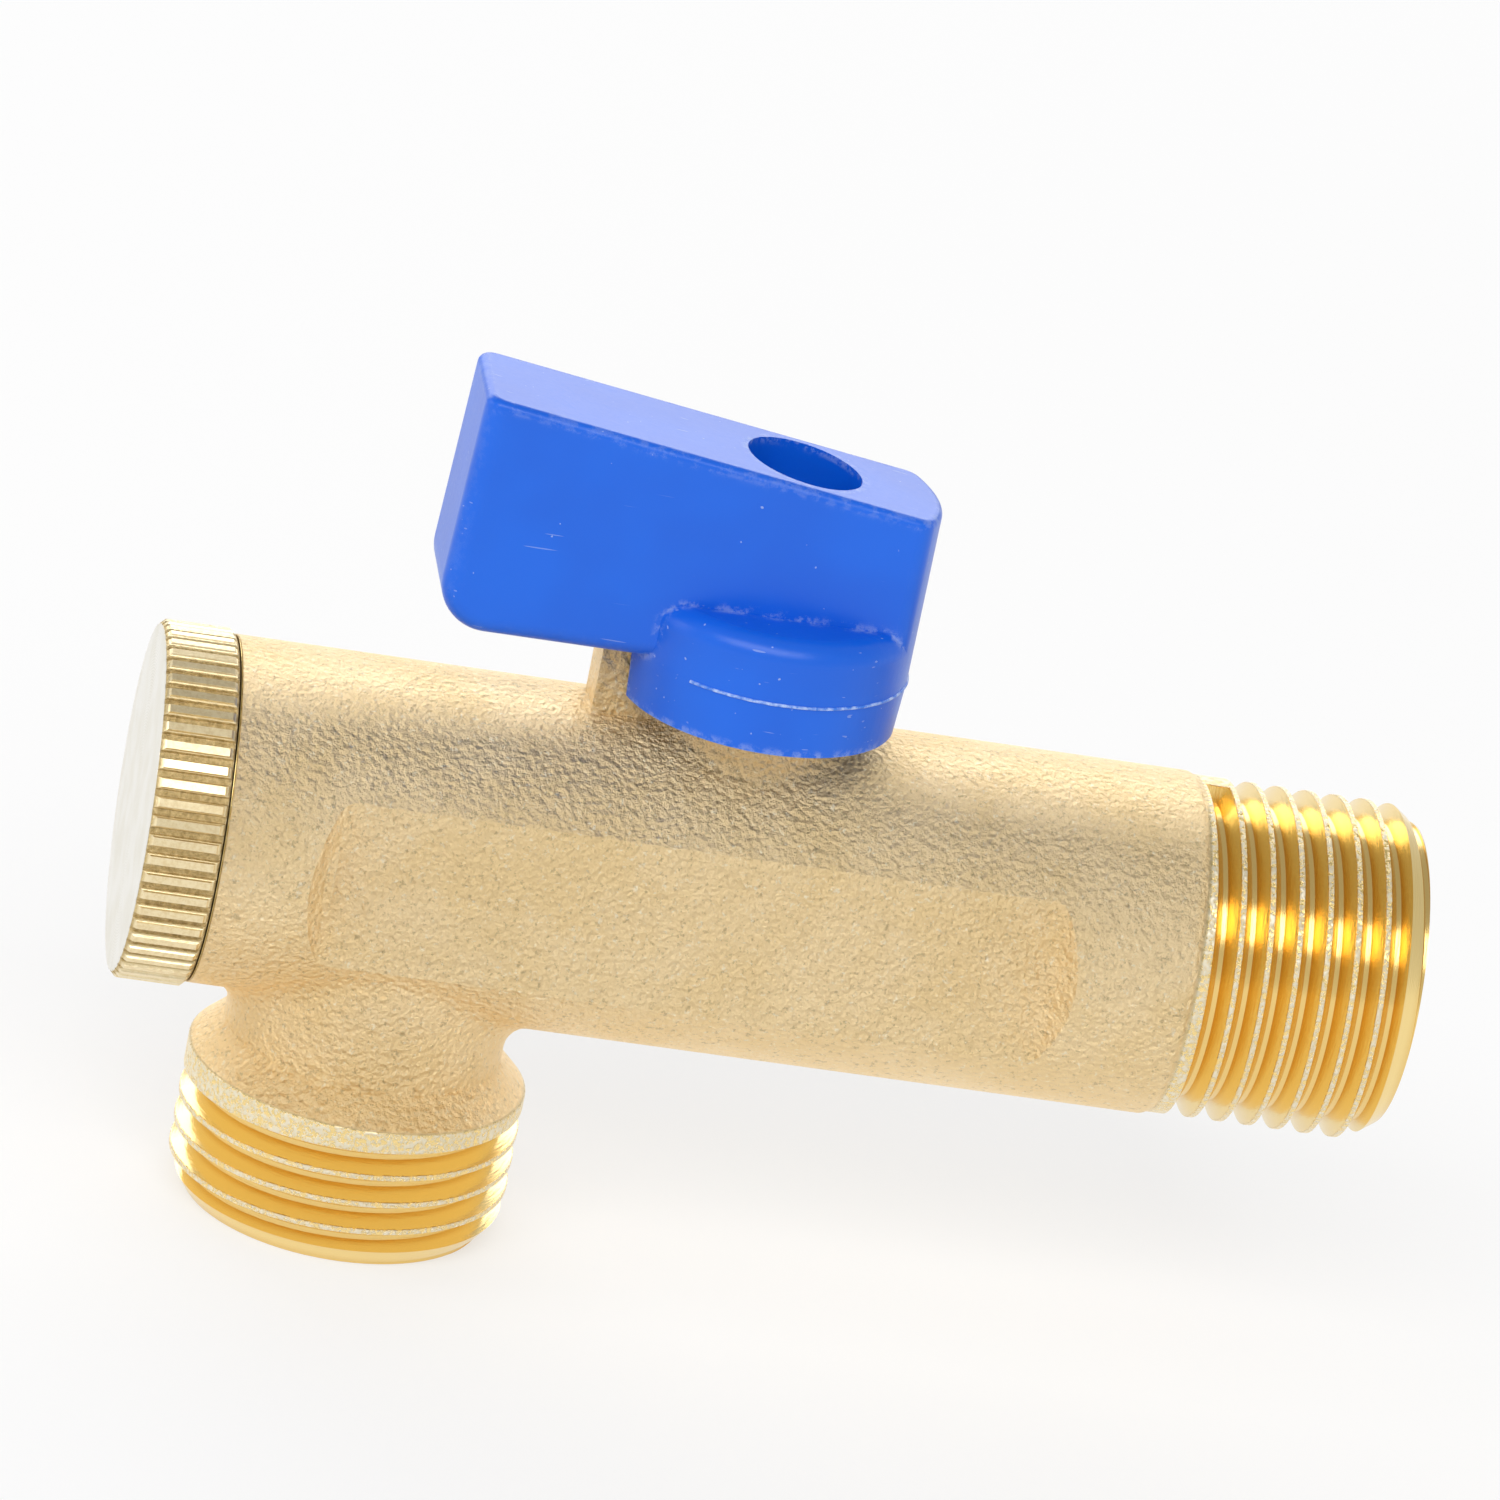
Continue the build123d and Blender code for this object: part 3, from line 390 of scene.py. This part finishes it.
def knurled_brass():
    """Plug finish: turned end face painted near-white as a painted highlight, bright knurl crests, and rough
    grooves darkened brown as painted shade.
    """
    s = Shader("knurled_brass")
    about_x = s.radius_about_x()
    head = s.between(s.x, PLUG_SEAT_X + 0.3 * MM, PLUG_SEAT_X + 0.1 * MM)
    face = s.between(s.x, PLUG_LOW.x + 0.04 * MM, PLUG_LOW.x + 0.01 * MM)
    groove = s.between(about_x, PLUG_R - KNURL_TOOTH_TOP, PLUG_R - KNURL_TOOTH_FLOOR)
    groove = s.times(s.times(groove, head), s.math("SUBTRACT", 1.0, face))
    groove = s.times(groove, s.between(about_x, PLUG_R - 1.2 * MM, PLUG_R - 0.8 * MM))
    torn = s.noise(0.3 * MM, detail=5.0, roughness=0.7)
    fine = s.noise(0.12 * MM, detail=3.0)
    slow = s.noise(3.0 * MM, detail=2.0)
    crest = s.blend(s.between(torn, 0.4, 0.65), KNURL_BRIGHT, KNURL_DULL)
    # groove_shade: painted shade on the knurl groove floors
    groove_shade = s.blend(s.between(torn, 0.3, 0.7), KNURL_GROOVE_SHADE_DARK, KNURL_GROOVE_SHADE_PALE)
    rim = s.blend(groove, crest, groove_shade)
    # lit_face: painted highlight over the whole end face
    lit_face = s.blend(s.between(slow, 0.3, 0.7), FACE_LIT_WHITE, FACE_LIT_CREAM)
    base = s.blend(face, rim, lit_face)
    wear = s.times(s.edges(0.2 * MM), s.between(fine, 0.3, 0.6))
    base = s.blend(s.times(wear, 0.45), base, KNURL_WORN)
    rings = s.lathe_rings(FACE_RING_PITCH, s.noise(4.0 * MM, detail=2.0), 2.0)
    roughness = s.blend(groove, s.scaled(fine, 0.24, 0.38), s.scaled(torn, 0.45, 0.6))
    roughness = s.blend(face, roughness, s.scaled(fine, 0.30, 0.42))
    normal = s.bump(s.times(rings, face), RING_DEPTH, 0.7)
    normal = s.bump(s.times(torn, groove), 0.16 * MM, normal=normal)
    normal = s.bump(fine, 0.012 * MM, 0.8, normal)
    return s.set(Base_Color=base, Metallic=1.0, Roughness=roughness, Normal=normal)


# ================================================================ handle plastic
BLUE = colour(0.002, 0.125, 0.72)
BLUE_DEEP = colour(0.002, 0.112, 0.67)
BLUE_CHALK = colour(0.42, 0.52, 0.80)
FLASH_BLUE = colour(0.03, 0.18, 0.74)
FLASH_WHITENED = colour(0.45, 0.58, 0.88)
SCUFF_RADIUS = 0.9 * MM


def blue_plastic():
    """Moulded polyamide: semi-gloss, faint flow marks, chalky scuffs along the edges and a few scratches."""
    s = Shader("blue_moulded_plastic")
    slow = s.noise(9.0 * MM, detail=2.0)
    fine = s.noise(0.25 * MM, detail=3.0)
    flow = s.noise(1.6 * MM, detail=3.0, stretch=(1.0, 1.0, 0.35), distortion=0.4)
    base = s.blend(s.between(slow, *SOFT_PATCHES), BLUE, BLUE_DEEP)
    edge = s.edges(SCUFF_RADIUS, low=0.015, high=0.07)
    patchy = s.between(s.noise(0.9 * MM, detail=4.0, roughness=0.7), 0.47, 0.60)
    scuff = s.times(edge, patchy)
    scratch = s.between(s.noise(0.5 * MM, detail=1.0, stretch=(0.10, 1.0, 1.6), distortion=0.3), 0.735, 0.76)
    specks = s.between(s.noise(0.45 * MM, detail=1.0), 0.765, 0.79)
    marks = s.either(s.times(scratch, 0.35), s.times(specks, 0.6))
    marks = s.either(marks, s.times(scuff, 0.55))
    base = s.blend(marks, base, BLUE_CHALK)
    normal = s.bump(flow, 0.05 * MM, 0.35)
    normal = s.bump(fine, 0.006 * MM, 0.6, normal)
    normal = s.bump(marks, 0.02 * MM, 0.5, normal)
    roughness = s.blend(marks, s.scaled(fine, 0.26, 0.36), 0.5)
    return s.set(Base_Color=base, Metallic=0.0, Roughness=roughness, Normal=normal, Specular_IOR_Level=0.42,
                 Subsurface_Weight=0.04, Subsurface_Radius=(0.0004, 0.0006, 0.0015), Subsurface_Scale=0.6)


def flash_plastic():
    """The thin whitened fin of plastic along the mould's parting line."""
    s = Shader("blue_flash_line")
    patchy = s.between(s.noise(0.8 * MM, detail=4.0, roughness=0.7), 0.38, 0.62)
    base = s.blend(patchy, FLASH_BLUE, FLASH_WHITENED)
    normal = s.bump(s.noise(0.2 * MM), 0.02 * MM, 0.6)
    return s.set(Base_Color=base, Roughness=s.scaled(patchy, 0.35, 0.55), Normal=normal)


# ================================================================ small parts
def chromed_ball():
    s = Shader("chromed_ball")
    haze = s.noise(2.0 * MM, detail=3.0)
    wear = s.edges(0.2 * MM)
    base = s.blend(s.times(wear, 0.3), colour(0.80, 0.81, 0.83), colour(0.90, 0.88, 0.82))
    normal = s.bump(s.noise(0.1 * MM), 0.002 * MM, 0.5)
    return s.set(Base_Color=base, Metallic=1.0, Roughness=s.scaled(haze, 0.06, 0.16), Normal=normal)


def seat_ptfe():
    s = Shader("waxy_ptfe")
    slow = s.noise(2.5 * MM, detail=2.0)
    base = s.blend(slow, colour(0.93, 0.93, 0.90), colour(0.86, 0.86, 0.82))
    normal = s.bump(s.noise(0.12 * MM), 0.006 * MM, 0.7)
    return s.set(Base_Color=base, Roughness=s.scaled(slow, 0.38, 0.52), Normal=normal,
                 Subsurface_Weight=0.15, Subsurface_Radius=(0.001, 0.001, 0.001), Subsurface_Scale=0.5)


def seal_rubber():
    s = Shader("black_seal_rubber")
    bloom = s.noise(1.2 * MM, detail=4.0)
    base = s.blend(s.between(bloom, 0.45, 0.7), colour(0.012, 0.012, 0.013), colour(0.035, 0.034, 0.032))
    normal = s.bump(s.noise(0.08 * MM), 0.008 * MM, 0.8)
    return s.set(Base_Color=base, Roughness=s.scaled(bloom, 0.42, 0.62), Normal=normal)


def zinc_steel():
    s = Shader("zinc_plated_steel")
    spangle = s.noise(0.6 * MM, detail=3.0)
    wear = s.edges(0.15 * MM)
    base = s.blend(spangle, colour(0.62, 0.64, 0.67), colour(0.76, 0.76, 0.74))
    base = s.blend(s.times(wear, 0.4), base, colour(0.88, 0.88, 0.86))
    normal = s.bump(s.noise(0.1 * MM), 0.01 * MM, 0.8)
    return s.set(Base_Color=base, Metallic=1.0, Roughness=s.scaled(spangle, 0.24, 0.42), Normal=normal)


def stainless_sheet():
    s = Shader("stainless_sheet")
    rolled = s.noise(0.2 * MM, detail=3.0, stretch=(0.08, 1.0, 1.0))
    burr = s.edges(0.1 * MM)
    base = s.blend(rolled, colour(0.60, 0.60, 0.58), colour(0.74, 0.74, 0.73))
    base = s.blend(s.times(burr, 0.4), base, colour(0.86, 0.86, 0.85))
    normal = s.bump(rolled, 0.008 * MM, 0.8)
    return s.set(Base_Color=base, Metallic=1.0, Roughness=s.scaled(rolled, 0.22, 0.38), Normal=normal)


def white_plastic():
    s = Shader("white_moulded_plastic")
    slow = s.noise(2.0 * MM, detail=3.0)
    base = s.blend(slow, colour(0.88, 0.88, 0.85), colour(0.80, 0.80, 0.76))
    normal = s.bump(s.noise(0.15 * MM), 0.008 * MM, 0.7)
    return s.set(Base_Color=base, Roughness=s.scaled(slow, 0.36, 0.5), Normal=normal)


FINISHES = {
    "forged_brass": forged_brass(),
    "turned_brass": turned_brass(),
    "knurled": knurled_brass(),
    "chromed_ball": chromed_ball(),
    "ptfe": seat_ptfe(),
    "black_rubber": seal_rubber(),
    "blue_plastic": blue_plastic(),
    "zinc_steel": zinc_steel(),
    "stainless_mesh": stainless_sheet(),
    "white_plastic": white_plastic(),
}
OWN_FINISH = {"strainer_plug": "knurled"}

for part in frame["record"]["subparts"]:
    node = frame["nodes"][part["node"]]
    finish = FINISHES[OWN_FINISH.get(part["node"], part["material_slot"])]
    for material_slot in node.material_slots:
        material_slot.material = finish


# ================================================================ pieces made by geometry nodes
class Builder:
    """A geometry node tree with named inputs, applied to an empty mesh."""

    def __init__(self, name, **inputs):
        self.tree = bpy.data.node_groups.new(name, "GeometryNodeTree")
        face = self.tree.interface
        self.values = inputs
        self.sockets = {}
        for key, value in inputs.items():
            kind = "NodeSocketInt" if isinstance(value, int) else "NodeSocketFloat"
            self.sockets[key] = face.new_socket(key, in_out="INPUT", socket_type=kind)
            self.sockets[key].default_value = value
        face.new_socket("Geometry", in_out="OUTPUT", socket_type="NodeSocketGeometry")
        self.group_in = self.node("NodeGroupInput")
        self.group_out = self.node("NodeGroupOutput")

    def node(self, kind, **settings):
        made = self.tree.nodes.new(kind)
        for key, value in settings.items():
            setattr(made, key, value)
        return made

    def given(self, key):
        return self.group_in.outputs[key]

    def feed(self, socket, value):
        if isinstance(value, bpy.types.NodeSocket):
            self.tree.links.new(value, socket)
        else:
            socket.default_value = value

    def math(self, operation, *values):
        made = self.node("ShaderNodeMath", operation=operation)
        for socket, value in zip(made.inputs, values):
            self.feed(socket, value)
        return made.outputs[0]

    def vector(self, x=0.0, y=0.0, z=0.0):
        made = self.node("ShaderNodeCombineXYZ")
        for socket, value in zip(made.inputs, (x, y, z)):
            self.feed(socket, value)
        return made.outputs[0]

    def piece(self, geometry, finish, body, smooth=True):
        """Realizes the geometry as a plain mesh riding on a CAD body."""
        realize = self.node("GeometryNodeRealizeInstances")
        shade = self.node("GeometryNodeSetShadeSmooth")
        paint = self.node("GeometryNodeSetMaterial")
        self.feed(realize.inputs[0], geometry)
        self.feed(shade.inputs["Geometry"], realize.outputs[0])
        self.feed(shade.inputs["Shade Smooth"], smooth)
        self.feed(paint.inputs["Geometry"], shade.outputs[0])
        self.feed(paint.inputs["Material"], finish)
        self.feed(self.group_out.inputs[0], paint.outputs[0])
        name = self.tree.name
        seed = bpy.data.objects.new(name + "_seed", bpy.data.meshes.new(name + "_seed"))
        bpy.context.scene.collection.objects.link(seed)
        modifier = seed.modifiers.new("build", "NODES")
        modifier.node_group = self.tree
        for key, socket in self.sockets.items():
            modifier[socket.identifier] = self.values[key]
        evaluated = seed.evaluated_get(bpy.context.evaluated_depsgraph_get())
        mesh = bpy.data.meshes.new_from_object(evaluated)
        mesh.name = name
        bpy.data.objects.remove(seed)
        made = bpy.data.objects.new(name, mesh)
        bpy.context.scene.collection.objects.link(made)
        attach(made, body)
        return made


def mould_flash():
    """A thin uneven fin round the hub disc where the two mould halves met."""
    b = Builder("handle_mould_flash", radius=HUB_R, stand=0.10 * MM, height=0.14 * MM, unevenness=0.08 * MM,
                parting=PARTING_Z, start=math.radians(-128.0), sweep=math.radians(256.0), steps=160, seed=4)
    arc = b.node("GeometryNodeCurveArc", mode="RADIUS")
    b.feed(arc.inputs["Resolution"], b.given("steps"))
    b.feed(arc.inputs["Radius"], b.given("radius"))
    b.feed(arc.inputs["Start Angle"], b.given("start"))
    b.feed(arc.inputs["Sweep Angle"], b.given("sweep"))
    noise = b.node("ShaderNodeTexNoise", noise_dimensions="4D")
    b.feed(noise.inputs["Vector"], b.node("GeometryNodeInputPosition").outputs[0])
    b.feed(noise.inputs["W"], b.given("seed"))
    b.feed(noise.inputs["Scale"], 1.0 / FLASH_WAVE)
    sway = b.math("MULTIPLY", b.math("SUBTRACT", noise.outputs["Fac"], 0.5), b.given("unevenness"))
    place = b.node("GeometryNodeSetPosition")
    b.feed(place.inputs["Geometry"], arc.outputs["Curve"])
    b.feed(place.inputs["Offset"], b.vector(0.0, 0.0, sway))
    profile = b.node("GeometryNodeCurvePrimitiveCircle", mode="RADIUS")
    b.feed(profile.inputs["Resolution"], 8)
    b.feed(profile.inputs["Radius"], b.given("stand"))
    sweep = b.node("GeometryNodeCurveToMesh")
    b.feed(sweep.inputs["Curve"], place.outputs[0])
    b.feed(sweep.inputs["Profile Curve"], profile.outputs[0])
    b.feed(sweep.inputs["Fill Caps"], True)
    move = b.node("GeometryNodeTransform")
    b.feed(move.inputs["Geometry"], sweep.outputs[0])
    b.feed(move.inputs["Translation"], b.vector(STEM_X, 0.0, b.given("parting")))
    return b.piece(move.outputs[0], flash_plastic(), "handle_set")


def screen_weave():
    """Fine wire mesh wrapped round the strainer tube: rings and straight wires."""
    covered = SCREEN_HIGH.x - SCREEN_LOW.x - WEAVE_BARE_ENDS
    b = Builder("strainer_wire_mesh", tube_radius=SCREEN_HIGH.y, wire_radius=WIRE_R, length=covered,
                rings=36, straights=72, seed=1)
    wire = b.node("GeometryNodeCurvePrimitiveCircle", mode="RADIUS")
    b.feed(wire.inputs["Resolution"], 6)
    b.feed(wire.inputs["Radius"], b.given("wire_radius"))
    hoop = b.node("GeometryNodeCurvePrimitiveCircle", mode="RADIUS")
    b.feed(hoop.inputs["Resolution"], 72)
    stand_off = b.math("MULTIPLY", b.given("wire_radius"), WIRE_STAND_OFF)
    b.feed(hoop.inputs["Radius"], b.math("ADD", b.given("tube_radius"), stand_off))
    hoop_mesh = b.node("GeometryNodeCurveToMesh")
    b.feed(hoop_mesh.inputs["Curve"], hoop.outputs[0])
    b.feed(hoop_mesh.inputs["Profile Curve"], wire.outputs[0])
    row = b.node("GeometryNodeMeshLine", mode="OFFSET")
    b.feed(row.inputs["Count"], b.given("rings"))
    pitch = b.math("DIVIDE", b.given("length"), b.math("SUBTRACT", b.given("rings"), 1))
    b.feed(row.inputs["Offset"], b.vector(0.0, 0.0, pitch))
    hoops = b.node("GeometryNodeInstanceOnPoints")
    b.feed(hoops.inputs["Points"], row.outputs[0])
    b.feed(hoops.inputs["Instance"], hoop_mesh.outputs[0])

    straight = b.node("GeometryNodeCurvePrimitiveLine", mode="POINTS")
    b.feed(straight.inputs["Start"], b.vector())
    b.feed(straight.inputs["End"], b.vector(0.0, 0.0, b.given("length")))
    straight_mesh = b.node("GeometryNodeCurveToMesh")
    b.feed(straight_mesh.inputs["Curve"], straight.outputs[0])
    b.feed(straight_mesh.inputs["Profile Curve"], wire.outputs[0])
    b.feed(straight_mesh.inputs["Fill Caps"], True)
    stations = b.node("GeometryNodeMeshCircle")
    b.feed(stations.inputs["Vertices"], b.given("straights"))
    b.feed(stations.inputs["Radius"], b.math("ADD", b.given("tube_radius"), stand_off))
    straights = b.node("GeometryNodeInstanceOnPoints")
    b.feed(straights.inputs["Points"], stations.outputs[0])
    b.feed(straights.inputs["Instance"], straight_mesh.outputs[0])

    join = b.node("GeometryNodeJoinGeometry")
    b.feed(join.inputs[0], straights.outputs[0])
    b.feed(join.inputs[0], hoops.outputs[0])
    turn = b.node("GeometryNodeTransform")
    b.feed(turn.inputs["Geometry"], join.outputs[0])
    b.feed(turn.inputs["Rotation"], (0.0, math.radians(90.0), 0.0))
    b.feed(turn.inputs["Translation"], (SCREEN_LOW.x + WEAVE_START, 0.0, 0.0))
    return b.piece(turn.outputs[0], FINISHES["stainless_mesh"], "strainer_set")


mould_flash()
screen_weave()


# ================================================================ floor, light and camera
def light_table():
    """Pale sheet with a glow of its own, so that shadows on it stay faint."""
    s = Shader("light_table_sheet")
    return s.set(Base_Color=colour(SHEET_GREY, SHEET_GREY, SHEET_GREY), Roughness=0.9, Specular_IOR_Level=0.1,
                 Emission_Color=colour(1.0, 1.0, 1.0), Emission_Strength=SHEET_GLOW)


def floor():
    """Plain pale sheet under the outlet's end face."""
    half = FLOOR_HALF
    level = CAD_BOX[0].z - FLOOR_GAP
    mesh = bpy.data.meshes.new("floor")
    corners = [(-half, -half, level), (half, -half, level), (half, half, level), (-half, half, level)]
    mesh.from_pydata(corners, [], [(0, 1, 2, 3)])
    mesh.materials.append(light_table())
    made = bpy.data.objects.new("floor", mesh)
    bpy.context.scene.collection.objects.link(made)


def soft_box(name, place, aim, width, height, power):
    """Rectangular area light at place, facing aim."""
    data = bpy.data.lights.new(name, "AREA")
    data.shape = "RECTANGLE"
    data.size = width
    data.size_y = height
    data.energy = power
    made = bpy.data.objects.new(name, data)
    bpy.context.scene.collection.objects.link(made)
    made.location = place
    made.rotation_euler = (Vector(aim) - Vector(place)).to_track_quat("-Z", "Y").to_euler()


def studio_world():
    """Pale surroundings that darken towards the top."""
    world = bpy.data.worlds.new("studio")
    bpy.context.scene.world = world
    world.use_nodes = True
    tree = world.node_tree
    background = tree.nodes["Background"]
    place = tree.nodes.new("ShaderNodeTexCoord")
    split = tree.nodes.new("ShaderNodeSeparateXYZ")
    ramp = tree.nodes.new("ShaderNodeValToRGB")
    tree.links.new(place.outputs["Generated"], split.inputs[0])
    tree.links.new(split.outputs["Z"], ramp.inputs[0])
    tree.links.new(ramp.outputs[0], background.inputs[0])
    elements = ramp.color_ramp.elements
    while len(elements) < len(SKY_RAMP):
        elements.new(0.5)
    for element, (place_on_ramp, shade) in zip(elements, SKY_RAMP):
        element.position = place_on_ramp
        element.color = (shade, shade, shade, 1.0)
    background.inputs[1].default_value = 1.0


def camera():
    """Camera turned by yaw, raised by elevation and rolled about its own line of sight."""
    forward = Vector((
        math.sin(CAMERA_YAW) * math.cos(CAMERA_ELEVATION),
        math.cos(CAMERA_YAW) * math.cos(CAMERA_ELEVATION),
        -math.sin(CAMERA_ELEVATION),
    ))
    level_right = Vector((math.cos(CAMERA_YAW), -math.sin(CAMERA_YAW), 0.0))
    level_up = level_right.cross(forward)
    right = math.cos(CAMERA_ROLL) * level_right + math.sin(CAMERA_ROLL) * level_up
    up = math.cos(CAMERA_ROLL) * level_up - math.sin(CAMERA_ROLL) * level_right
    data = bpy.data.cameras.new("camera")
    data.sensor_width = SENSOR_WIDTH
    data.lens = CAMERA_LENS
    data.clip_start = 0.05
    data.clip_end = 50.0
    made = bpy.data.objects.new("camera", data)
    bpy.context.scene.collection.objects.link(made)
    made.matrix_world = Matrix((
        (right.x, up.x, -forward.x, 0.0),
        (right.y, up.y, -forward.y, 0.0),
        (right.z, up.z, -forward.z, 0.0),
        (0.0, 0.0, 0.0, 1.0),
    ))
    made.location = CAMERA_TARGET - CAMERA_DISTANCE * forward
    bpy.context.scene.camera = made


CENTRE = (CAD_BOX[0] + CAD_BOX[1]) / 2
floor()
studio_world()
for box_name, (offset, width, height, power) in SOFT_BOXES.items():
    soft_box(box_name, CENTRE + offset, CENTRE, width, height, power)
camera()

bpy.context.scene.view_settings.view_transform = "Standard"
